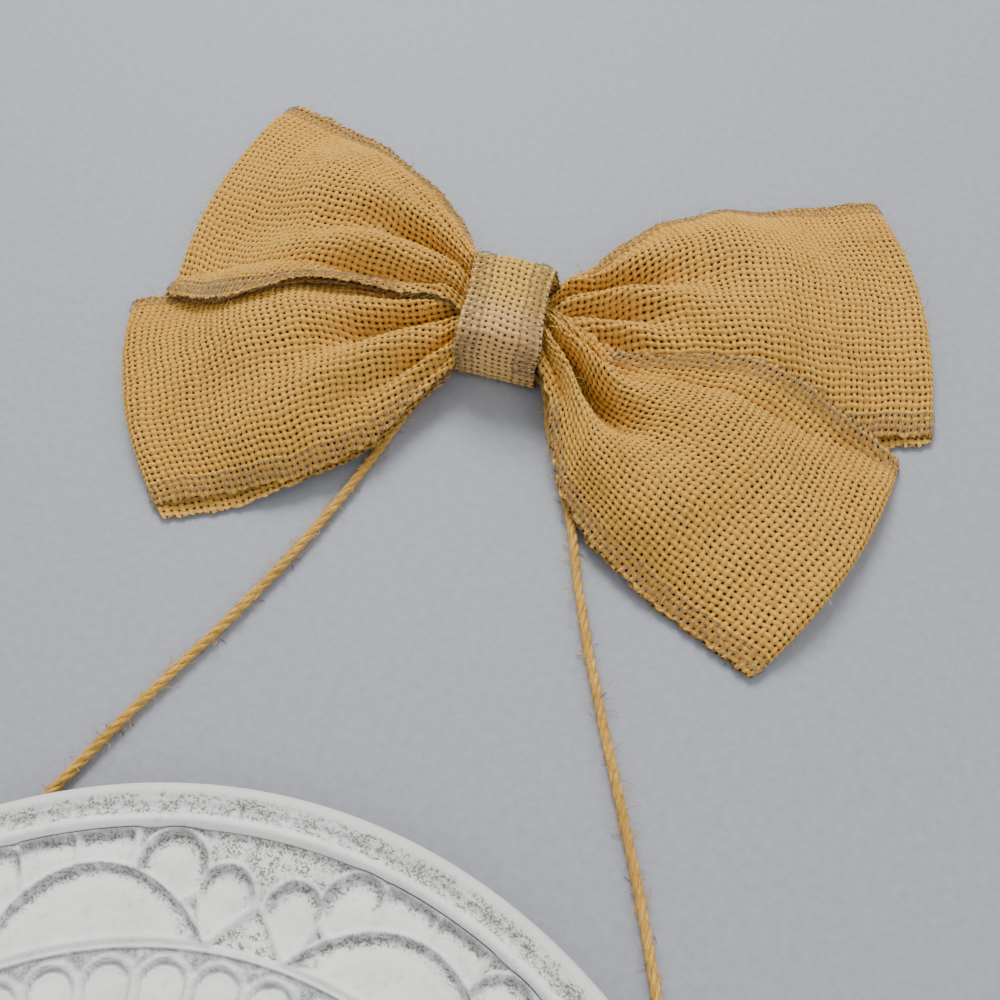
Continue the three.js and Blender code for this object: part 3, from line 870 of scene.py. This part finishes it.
def centre_band():
    depth = 2 * WRAP_HALF_DEPTH - 0.6
    ring, length = oblong(depth, 0.5, WRAP_TOP - 0.3, 3.2, 190)
    columns = 49
    share = np.linspace(-1, 1, columns)
    y, z = ring[:, :1], ring[:, 1:]
    on_top = smooth(z, WRAP_TOP * 0.45, WRAP_TOP * 0.95)
    middle = on_top * (1 - (y / (depth / 2)) ** 2)
    x = share * WRAP_WIDTH / 2 * (1 - 0.07 * middle) - 0.117 * y * on_top
    crease = 0.5 * on_top * np.exp(-((share - 0.1) / 0.3) ** 2) * np.sin(y * 0.35 + 1)
    crown = 1.1 * on_top * (1 - share ** 2) + 0.9 * middle - crease
    sheet = np.stack([x, np.broadcast_to(y + KNOT_Y, x.shape), z + crown], -1)
    threads = 2 * round(length / THREAD_PITCH / 2)
    across = WRAP_WIDTH / THREAD_PITCH
    plain = np.stack(np.meshgrid(
        np.arange(len(ring)) / len(ring) * threads, (share + 1) / 2 * across, indexing="ij"), -1)
    uv = wander(plain)
    base = sheet.copy()
    sheet, normal = woven(base, uv, np.ones((len(ring), 1)), 0.5)
    # paler, pinker colour towards the band's -Y side
    front_tint = np.repeat(smooth(-ring[:, 0], -1, 10)[:, None], columns, 1)
    faces = grid_faces(len(sheet), columns, closed_rows=True)
    piece = make_piece("ribbon_centre_band", sheet, faces, wrap_cloth, uv, {"front_tint": front_tint})
    return piece, base, normal, length


band, band_base, band_normal, band_length = centre_band()


def wound_tie():
    depth, low, high = tie_high[1] - tie_low[1], tie_low[2], tie_high[2]
    ring, _ = oblong(depth - 1.0, low + 0.5, high - 0.5, 2.0, 60)
    turns = 6
    width = tie_high[0] - tie_low[0] - 1.0
    t = np.arange(turns * len(ring)) / (turns * len(ring))
    yz = np.tile(ring, (turns, 1))
    route = np.stack([(t - 0.5) * width, yz[:, 0] + KNOT_Y, yz[:, 1]], -1)
    return tube(route, 0.45, 6)


points, faces, uv = wound_tie()
tie = make_piece("wound_thread_tie", points, faces, tie_thread, uv)


# ------------------------------------------------------------------ sewn edges and loose fibres

def new_tree(name, inputs):
    tree = bpy.data.node_groups.new(name, "GeometryNodeTree")
    tree.interface.new_socket("Geometry", in_out="INPUT", socket_type="NodeSocketGeometry")
    for label, kind in inputs:
        tree.interface.new_socket(label, in_out="INPUT", socket_type=kind)
    tree.interface.new_socket("Geometry", in_out="OUTPUT", socket_type="NodeSocketGeometry")
    return tree, tree.nodes.new("NodeGroupInput"), tree.nodes.new("NodeGroupOutput")


def finish_tree(tree, given, out, geometry):
    real = node(tree, "GeometryNodeRealizeInstances", Geometry=geometry)
    paint = node(tree, "GeometryNodeSetMaterial", Geometry=real.outputs[0],
                 Material=given.outputs["Material"])
    put(tree, out.inputs["Geometry"], paint.outputs[0])


def swept(tree, line, radius, sides):
    """A round closed-ended rod along a curve."""
    circle = node(tree, "GeometryNodeCurvePrimitiveCircle", Resolution=sides, Radius=radius)
    return node(tree, "GeometryNodeCurveToMesh", Curve=line.outputs[0], Profile_Curve=circle.outputs[0],
                Fill_Caps=True).outputs[0]


def sewing_tree():
    """Lays a round thread along every line of the mesh it is given."""
    tree, given, out = new_tree("sewing thread", [("Thickness", F), ("Sides", "NodeSocketInt"),
                                                  ("Material", "NodeSocketMaterial")])
    line = node(tree, "GeometryNodeMeshToCurve", Mesh=given.outputs["Geometry"])
    radius = times(tree, given.outputs["Thickness"], 0.5)
    finish_tree(tree, given, out, swept(tree, line, radius, given.outputs["Sides"]))
    return tree


def fuzz_tree():
    """Scatters short curled fibres over a mesh."""
    tree, given, out = new_tree("loose fibres", [
        ("Density", F), ("Length", F), ("Thickness", F), ("Seed", "NodeSocketInt"),
        ("Material", "NodeSocketMaterial")])
    scatter = node(tree, "GeometryNodeDistributePointsOnFaces", Mesh=given.outputs["Geometry"],
                   Density=given.outputs["Density"], Seed=given.outputs["Seed"])
    curl = node(tree, "GeometryNodeCurveQuadraticBezier", Resolution=4,
                Start=(0, 0, -0.15), Middle=(0.30, 0.1, 0.55), End=(0.85, -0.1, 0.5))
    radius = sums(tree, "DIVIDE", given.outputs["Thickness"], given.outputs["Length"])
    hair = swept(tree, curl, radius, 3)
    spin = tree.nodes.new("FunctionNodeRandomValue")
    spin.data_type = "FLOAT_VECTOR"
    spin.inputs[0].default_value = (-0.7, -0.7, 0.0)
    spin.inputs[1].default_value = (0.7, 0.7, 6.28)
    put(tree, spin.inputs["Seed"], given.outputs["Seed"])
    turn = node(tree, "FunctionNodeRotateRotation", Rotation=scatter.outputs["Rotation"],
                Rotate_By=spin.outputs[0])
    turn.rotation_space = "LOCAL"
    grow = tree.nodes.new("FunctionNodeRandomValue")
    grow.inputs[2].default_value = 0.35
    grow.inputs[3].default_value = 1.3
    put(tree, grow.inputs["Seed"], sums(tree, "ADD", given.outputs["Seed"], 9.0))
    spread = node(tree, "GeometryNodeInstanceOnPoints", Points=scatter.outputs["Points"], Instance=hair,
                  Rotation=turn.outputs[0], Scale=times(tree, grow.outputs[1], given.outputs["Length"]))
    finish_tree(tree, given, out, spread.outputs[0])
    return tree


LOWEST = 0.05                  # threads and fibres lie on the table and not in it


def grown(name, source, tree, material, keep_source, **sizes):
    """A plain mesh that a node tree makes from a source object."""
    modifier = source.modifiers.new("grow", "NODES")
    modifier.node_group = tree
    for item in tree.interface.items_tree:
        if item.in_out == "INPUT" and item.name != "Geometry":
            modifier[item.identifier] = material if item.name == "Material" else sizes[item.name]
    seen = source.evaluated_get(bpy.context.evaluated_depsgraph_get())
    mesh = bpy.data.meshes.new_from_object(seen)
    mesh.name = name
    place = np.empty(len(mesh.vertices) * 3, dtype=np.float32)
    mesh.vertices.foreach_get("co", place)
    place[2::3] = np.maximum(place[2::3], LOWEST * MM)
    mesh.vertices.foreach_set("co", place)
    source.modifiers.remove(modifier)
    if not keep_source:
        bpy.data.objects.remove(source)
    if not mesh.uv_layers:
        lay_uv(mesh, place.reshape(-1, 3)[:, :2] / MM)
    mesh.polygons.foreach_set("use_smooth", np.ones(len(mesh.polygons), dtype=bool))
    return brought_in(name, mesh)


sewing = sewing_tree()
fuzz = fuzz_tree()
STITCH = 3.8                   # length of one overlock stitch
STRAIGHT_STITCH = 1.4
SEAM_THREAD = 0.26
LOOPER_REACH = ((-0.03, 0.5, 1.0, 0.5), (-0.03, 0.35, 0.72, 0.35))   # of the two looping threads
TUCK = 36.0                    # how near the knot the gathers take the seam in


def on_sheet(base, normal, along, share, row_length):
    """Points on a closed sheet at places along it in millimetres and across it from 0 to 1."""
    rows, columns = base.shape[:2]
    marks = measured(base[:, columns // 2], closed=True)
    row = np.interp(np.mod(along, row_length), marks, np.arange(rows + 1))
    column = np.clip(share, 0, 1) * (columns - 1)
    i, j = np.floor(row).astype(int), np.minimum(np.floor(column).astype(int), columns - 2)
    fi, fj = (row - i)[:, None], (column - j)[:, None]
    i0, i1 = i % rows, (i + 1) % rows

    def pick(grid):
        return lerp(lerp(grid[i0, j], grid[i1, j], fi), lerp(grid[i0, j + 1], grid[i1, j + 1], fi), fj)
    return pick(base), unit(pick(normal))


def overlock_lines(base, normal, length, width, rng, tuck):
    """The looping seam over both long edges, and the straight line of stitches inside it.

    Nearer the knot than tuck, the seam is drawn down into the gathers.
    """
    def spot(edge, along, share):
        return on_sheet(base, normal, along, share if edge == 0 else 1 - share, length)

    def laid(points, up, lift):
        near = 1 - smooth(np.hypot(points[:, 0], points[:, 1] - KNOT_Y), tuck - 8, tuck)
        return points + up * lerp(lift, -0.6, near)[:, None]

    lines = []
    deep = OVERLOCK / width
    for edge in (0, 1):
        for strand, lag in ((0, 0.0), (1, 0.5)):
            count = int(length / STITCH)
            k = np.arange(count * 4)
            phase = k % 4
            reach = np.choose(phase, LOOPER_REACH[strand])
            jitter = rng.normal(0, 0.10, len(k))
            along = (k / 4 + lag + jitter * 0.5) * length / count
            lift = np.where(phase == 0, -0.35, 0.55) + 0.1 * strand
            points, up = spot(edge, along, reach * deep + jitter * 0.02)
            rim, inner = (spot(edge, along, np.full(len(k), s))[0] for s in (0.0, 0.02))
            outward = unit(rim - inner)
            beyond = np.where(phase == 0, 0.5, 0.0)[:, None]
            lines.append(laid(points + outward * beyond, up, lift))
        count = int(length / STRAIGHT_STITCH)
        k = np.arange(count)
        points, up = spot(edge, k * length / count, np.full(count, deep * 1.02))
        lines.append(laid(points, up, np.where(k % 2 == 0, 0.55, 0.25)))
    return lines


def sewn_edge(name, base, normal, length, width, seed, tuck=0.0):
    lines = overlock_lines(base, normal, length, width, np.random.default_rng(seed), tuck)
    points = np.concatenate(lines)
    edges, start = [], 0
    for line in lines:
        n = len(line)
        edges += [(start + i, start + (i + 1) % n) for i in range(n)]
        start += n
    mesh = bpy.data.meshes.new(name)
    mesh.from_pydata((points * MM).tolist(), edges, [])
    source = brought_in(name + "_lines", mesh)
    return grown(name, source, sewing, seam_thread, False, Thickness=SEAM_THREAD * MM, Sides=5)


def loose_fibres(word, source, length, seed, density=80000.0, thickness=0.07):
    """Fibres of so many to a square metre, with their length and thickness in millimetres."""
    return grown(f"loose_fibres_{word}", source, fuzz, jute, True,
                 Density=density, Length=length * MM, Thickness=thickness * MM, Seed=seed)


RIBBON_WIDTH = RIBBON_THREADS * THREAD_PITCH
bow_pieces = {}
for number, (word, (piece, base, normal, length)) in enumerate(loops.items()):
    seam = sewn_edge(f"overlock_seam_{word}", base, normal, length, RIBBON_WIDTH, 11 + number, TUCK)
    bow_pieces[word] = (piece, seam, loose_fibres(word, piece, 2.6, 3 + number), length)
band_seam = sewn_edge("overlock_seam_band", band_base, band_normal, band_length, WRAP_WIDTH, 17)
band_hairs = loose_fibres("band", band, 2.2, 7)
twine_hairs = loose_fibres("twine", twine, 3.0, 5, density=190000.0, thickness=0.065)


# ------------------------------------------------------------------ plaque

def ridge(distance, width):
    """A rounded line: 1 on it and 0 past its width."""
    return np.maximum(0, 1 - (distance / width) ** 2) ** 1.5


LUNETTE_FOOT, LUNETTE_RISE, LUNETTE_HALF = 94.6, 15.8, 14.9   # the last in degrees
BLOCK = 6.1                    # width of a block, in degrees
ROUND_BLOCK = 7.4              # radius of a rounded block
ARCADE_TOP, ARCADE_SPRING = 91.5, 86.0


def frieze(r, turn):
    """Carved frieze: a lunette with blocks, rounded blocks and petals over it, between thin ribs.

    Gives how far each place is inside its cell, and how near it is to the cell's outer side (0 to 1).
    turn is clockwise from +Y in degrees.
    """
    phi = np.mod(turn - LUNETTE_AXIS + REPEAT / 2, REPEAT) - REPEAT / 2
    degree = math.pi / 180 * r
    arch = LUNETTE_FOOT + LUNETTE_RISE * (1 - (phi / LUNETTE_HALF) ** 2)
    slope = 2 * LUNETTE_RISE * phi / LUNETTE_HALF ** 2 / degree
    above = (r - arch) / np.sqrt(1 + slope ** 2)
    lunette = np.minimum(-above, r - LUNETTE_FOOT - 0.4)
    size = np.abs(phi)
    block = np.abs(phi + 1.1 * smooth(14 - size, 0, 8))
    top = FACE_RADIUS - 0.4 - r
    square = np.minimum(np.minimum(block, BLOCK - block) * degree, np.minimum(above, top))
    circle = ROUND_BLOCK - np.hypot((size - 9.4) * degree, r - 109.3)
    round_block = np.minimum(np.minimum(circle, (block - BLOCK) * degree), above)
    # a petal is round outside and runs to a point beside the lunette's foot
    tip_x, tip_y, wide, fine = -1.75, -9.2, 6.2, 0.4
    px, py = (size - 15.9) * degree, r - 104.5
    along = np.clip((px * tip_x + py * tip_y) / (tip_x ** 2 + tip_y ** 2), 0, 1)
    petal = lerp(wide, fine, along) - np.hypot(px - along * tip_x, py - along * tip_y)
    petal = np.minimum(petal, np.minimum(above, (20 - size) * degree))
    cells = np.stack([lunette, square, round_block, petal])
    outer = np.stack([
        smooth(-above, 6.0, 0.4), smooth(top, 5.0, 0.6),
        smooth(np.hypot((size - 9.0) * degree, r - 107.5), 2.0, 7.2) * smooth(r, 104, 110),
        smooth(np.hypot(px + 0.8, py + 2.0), 1.5, 6.8) * smooth(py, -5, 2)])
    which = cells.argmax(axis=0)[None]
    return np.take_along_axis(cells, which, 0)[0], np.take_along_axis(outer, which, 0)[0]


def arcade(r, turn):
    """How far each place is inside a tall round-topped petal of the ring inside the frieze."""
    psi = np.mod(turn - 2.5 + ARCADE_PITCH / 2, ARCADE_PITCH) - ARCADE_PITCH / 2
    x = np.radians(np.abs(psi)) * r
    half = math.radians(ARCADE_PITCH / 2) * ARCADE_SPRING
    y = r - (ARCADE_TOP - half)
    side = math.radians(ARCADE_PITCH / 2) * r - x
    return np.where(y > 0, half - np.hypot(x, y), side), smooth(y, -1.0, half)


def carved(inside, outer, scoop):
    """A thin rib round each cell, the cell scooped out to its outer side, and pits between cells."""
    rib = 0.75 * ridge(inside - 0.05, 0.62)
    bowl = (0.3 + scoop * outer) * (1 - np.exp(-np.maximum(0, inside - 0.3) / 0.35))
    return rib - bowl - smooth(-inside, 0.35, 1.8)


def face_relief(r, turn):
    """Height of the carved face, where painted shade gathers in its hollows, and where it is speckled.
    """
    inside, outer = frieze(r, turn)
    tall, tall_top = arcade(r, turn)
    in_frieze = r > LUNETTE_FOOT + 0.2
    in_arcade = (r <= 93.2) & (r > 68.5)
    height = np.where(in_frieze, carved(inside, outer, 1.25), 0)
    lip = 0.3 * ridge(tall - 1.9, 0.6) - 0.45 * ridge(tall - 1.2, 0.55) - 0.25
    petals = carved(tall, tall_top * 0.5, 0.9) + lip
    height = np.where(in_arcade, np.maximum(petals, -0.95), height - np.where(in_frieze, 0, 0.25))
    height += 0.18 * ridge(r - 94.7, 0.7) - 0.15 * ridge(r - 93.9, 0.5) + 1.5 * smooth(r, 100, 116.5)
    gather = np.where(in_frieze, outer * np.exp(-np.abs(inside - 0.3) / 0.85), 0)
    gather += np.where(in_arcade, 0.55 * tall_top * np.exp(-np.maximum(0, tall - 0.8) / 0.8), 0)
    pits = np.where(in_frieze, smooth(-inside, 0.5, 1.4), 0)
    pits += np.where(in_arcade, 0.6 * smooth(-tall, 0.9, 1.5), 0)
    speckled = 0.75 * pits + np.where(in_frieze, outer * np.exp(-((inside - 1.6) / 1.5) ** 2), 0)
    for radius, rise in ((67.5, 1.0), (64.5, 0.7), (54.0, 0.8), (31.0, 1.1), (28.6, 0.6)):
        height += rise * ridge(r - radius, 0.9)
    # guessed rings inside: tongues, a fluted shell, a rosette and its button
    leaf = np.mod(turn, 20) - 10
    tongue = np.hypot(leaf / 9.2, (r - 59.5) / 4.2)
    height += np.where((r > 54) & (r < 65), 0.9 * np.maximum(0, 1 - tongue ** 2) - 0.5, 0)
    flute = np.mod(turn, 12) - 6
    shell = 1 - (flute / 5.6) ** 2
    height += np.where((r > 32) & (r < 53), 0.8 * np.maximum(0, shell) * smooth(r, 32, 36) - 0.5, 0)
    petal = np.mod(turn, 40) - 20
    bloom = 1 - (petal / (19 * np.sqrt(np.clip((27.5 - r) / 12, 0.02, 1)))) ** 2
    height += np.where(r < 27.5, 1.5 * np.sqrt(np.maximum(0, bloom)) * smooth(r, 5, 10) + 0.4, 0)
    height += np.where(r < 7, 1.9 * np.sqrt(np.maximum(0, 1 - (r / 7) ** 2)), 0)
    # painted shade: gathered at the outer sides of the cells, in the pits and at the frieze's outer
    # edge
    recess_shade = 0.72 * gather + 0.16 * pits + 0.3 * smooth(r, 114.6, 116.8) * in_frieze
    return height, recess_shade, speckled


def soften(grid, reach):
    """Moving average round the ring and across it."""
    total = sum(np.roll(grid, k, axis=1) for k in range(-reach, reach + 1)) / (2 * reach + 1)
    padded = np.pad(total, ((reach, reach), (0, 0)), mode="edge")
    return sum(padded[k:k + len(grid)] for k in range(2 * reach + 1)) / (2 * reach + 1)


SPOKES, FINE_SPOKES = 720, 1440
RIM_HOLLOW = 121.9             # radius of the rim's hollow, where painted shade and specks go


def turned(name, radii, levels, relief=None, bare=None, spokes=SPOKES):
    """A turned form: one ring of points for each radius, with a carved relief on its levels."""
    turn = np.arange(spokes) * 360 / spokes
    r, a = np.meshgrid(radii, turn, indexing="ij")
    height, gather, speckled = relief(r, a) if relief else 3 * (np.zeros_like(r),)
    z = np.asarray(levels)[:, None] + height
    if spokes == FINE_SPOKES:
        z = soften(z, 1)
    # painted shade in the fine creases
    crease = np.clip((soften(z, 3) - z) * 0.9, 0, 0.45)
    if not relief:
        # painted shade and specks in the rim's hollow
        gather = 0.30 * smooth(-np.abs(r - RIM_HOLLOW), -3.4, -0.6) * (z > RIM_UNDERSIDE + 3)
        speckled = 3.2 * gather
    x, y = r * np.sin(np.radians(a)), r * np.cos(np.radians(a))
    bare_grid = np.zeros_like(r) + (0 if bare is None else np.asarray(bare)[:, None])
    faces = grid_faces(len(radii), spokes, closed_cols=True)
    return make_piece(name, np.stack([x, y, z], -1), faces[:, ::-1], plaster,
                      values={"recess_shade": np.clip(gather + crease, 0, 1), "bare": bare_grid,
                              "speckled": np.clip(speckled, 0, 1)})


FRIEZE_RADIUS = 93.4
field_radii = np.concatenate([
    np.linspace(0.02, 32, 21), np.linspace(33, 68, 36), np.linspace(68.6, 86, 28),
    np.linspace(86.4, FRIEZE_RADIUS, 18)])
frieze_radii = np.linspace(FRIEZE_RADIUS, FACE_RADIUS, 60)
plaque_field = turned("plaque_field", field_radii, np.full(len(field_radii), FIELD), face_relief)
plaque_frieze = turned(
    "plaque_frieze", frieze_radii, np.full(len(frieze_radii), FIELD), face_relief, spokes=FINE_SPOKES)
RIM_SECTION = [
    (FACE_RADIUS, FIELD - 1.5), (117.15, 14.6), (117.3, 15.6), (117.6, 16.2), (118.0, 16.7),
    (118.6, 17.0), (119.2, 16.8), (119.7, 16.3), (120.2, 15.9), (120.5, 15.95), (120.9, 15.6),
    (121.6, 15.35), (122.4, 15.45), (122.9, 15.8), (123.2, 15.75), (123.6, 16.1), (124.3, 16.3),
    (125.0, 16.25), (125.7, 16.0), (126.3, 15.4), (126.7, 14.6), (126.9, 13.6),
    (PLAQUE_RADIUS, 12.6), (126.9, 11.4), (126.5, 10.3), (125.7, 9.4), (124.4, RIM_UNDERSIDE),
    (104.0, RIM_UNDERSIDE), (82.0, RIM_UNDERSIDE), (80.8, 8.4), (FOOT_RADIUS, 1.2), (79.6, 0.3),
    (78.8, 0.0), (40.0, 0.0), (0.02, 0.0),
]
rim_radii, rim_levels = np.array(RIM_SECTION).T
rim_bare = smooth(rim_radii, 123.2, 124.4) * 0.9 + 0.5 * (rim_levels < 9.5)
plaque_rim = turned("plaque_rim", rim_radii, rim_levels, bare=np.clip(rim_bare, 0, 1))


# ------------------------------------------------------------------ carried-over fittings

for kind in ("ring_strap", "strap_screw", "d_ring"):
    for word in SIDES.values():
        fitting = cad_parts[f"{kind}_{word}"]
        fitting.data.materials.clear()
        fitting.data.materials.append(steel)


# ------------------------------------------------------------------ which piece goes with what

for piece in (plaque_field, plaque_frieze, plaque_rim):
    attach(piece, "plaque")
    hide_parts("plaque")

for piece in (twine, twine_hairs, *knots.values()):
    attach(piece, "hanger")
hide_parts("twine")
for side, word in SIDES.items():
    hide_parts(f"twine_knot_{word}")

for word, (piece, seam, hairs, length) in bow_pieces.items():
    for part in (piece, seam, hairs):
        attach(part, "bow")
    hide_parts(f"bow_loop_{word}")
for part in (band, band_seam, band_hairs):
    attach(part, "bow")
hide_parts("bow_wrap")
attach(tie, "bow")
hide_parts("gather_tie")


# ------------------------------------------------------------------ floor, light and camera

TABLE_HALF, TABLE_GAP = 12.0, 0.0004


def backdrop():
    material, tree, surface = new_material("table_paint", Roughness=0.6)
    grain = noise(tree, object_place(tree), 420.0, 4.0, 0.6)
    paint = coats(tree, srgb(158, 161, 168), (remap(tree, grain, 0.3, 0.7), srgb(166, 169, 176)))
    coated(tree, surface, paint, grain, 0.0004, 0.35)
    # seen from beneath, the table is clear, so that the object's back shows
    clear = tree.nodes.new("ShaderNodeBsdfTransparent")
    side = tree.nodes.new("ShaderNodeNewGeometry")
    seen = tree.nodes.new("ShaderNodeMixShader")
    shown = (side.outputs["Backfacing"], surface.outputs[0], clear.outputs[0])
    for socket, value in zip(seen.inputs, shown):
        tree.links.new(value, socket)
    tree.links.new(seen.outputs[0], tree.nodes["Material Output"].inputs["Surface"])
    corners = [(TABLE_HALF * x, TABLE_HALF * y, 0) for x, y in ((-1, -1), (1, -1), (1, 1), (-1, 1))]
    mesh = bpy.data.meshes.new("table_top")
    mesh.from_pydata(corners, [], [(0, 1, 2, 3)])
    mesh.materials.append(material)
    table = brought_in("table_top", mesh)
    table.location.z = -TABLE_GAP


def area_light(name, place, target, size, power, colour=(1, 1, 1)):
    light = bpy.data.lights.new(name, "AREA")
    light.shape = "DISK"
    light.size = size
    light.energy = power
    light.color = colour
    lamp = brought_in(name, light)
    lamp.location = place
    lamp.rotation_euler = (Vector(target) - Vector(place)).to_track_quat("-Z", "Y").to_euler()


backdrop()
MIDDLE = (0, 0.2, 0)
area_light("window", (-0.5, 1.35, 1.35), MIDDLE, 0.9, 32.4, (1.0, 0.985, 0.965))
area_light("fill", (1.2, -0.5, 1.4), MIDDLE, 1.4, 6.5, (0.95, 0.975, 1.0))
world = bpy.data.worlds.new("studio")
scene.world = world
world.use_nodes = True
world.node_tree.nodes["Background"].inputs["Color"].default_value = (0.93, 0.96, 1.0, 1)
world.node_tree.nodes["Background"].inputs["Strength"].default_value = 0.71

lens = bpy.data.cameras.new("camera")
lens.sensor_width = 36.0
lens.lens = 39.0
camera = brought_in("camera", lens)
right, up, back = (Vector(v).normalized() for v in (
    (0.9595, 0.2818, 0.0), (-0.2440, 0.8309, 0.5), (0.1409, -0.4797, 0.8660)))
turn = Matrix((right, up, back)).transposed().to_4x4()
camera.matrix_world = Matrix.Translation((0.0537, 0.0799, 0.2514)) @ turn
scene.camera = camera
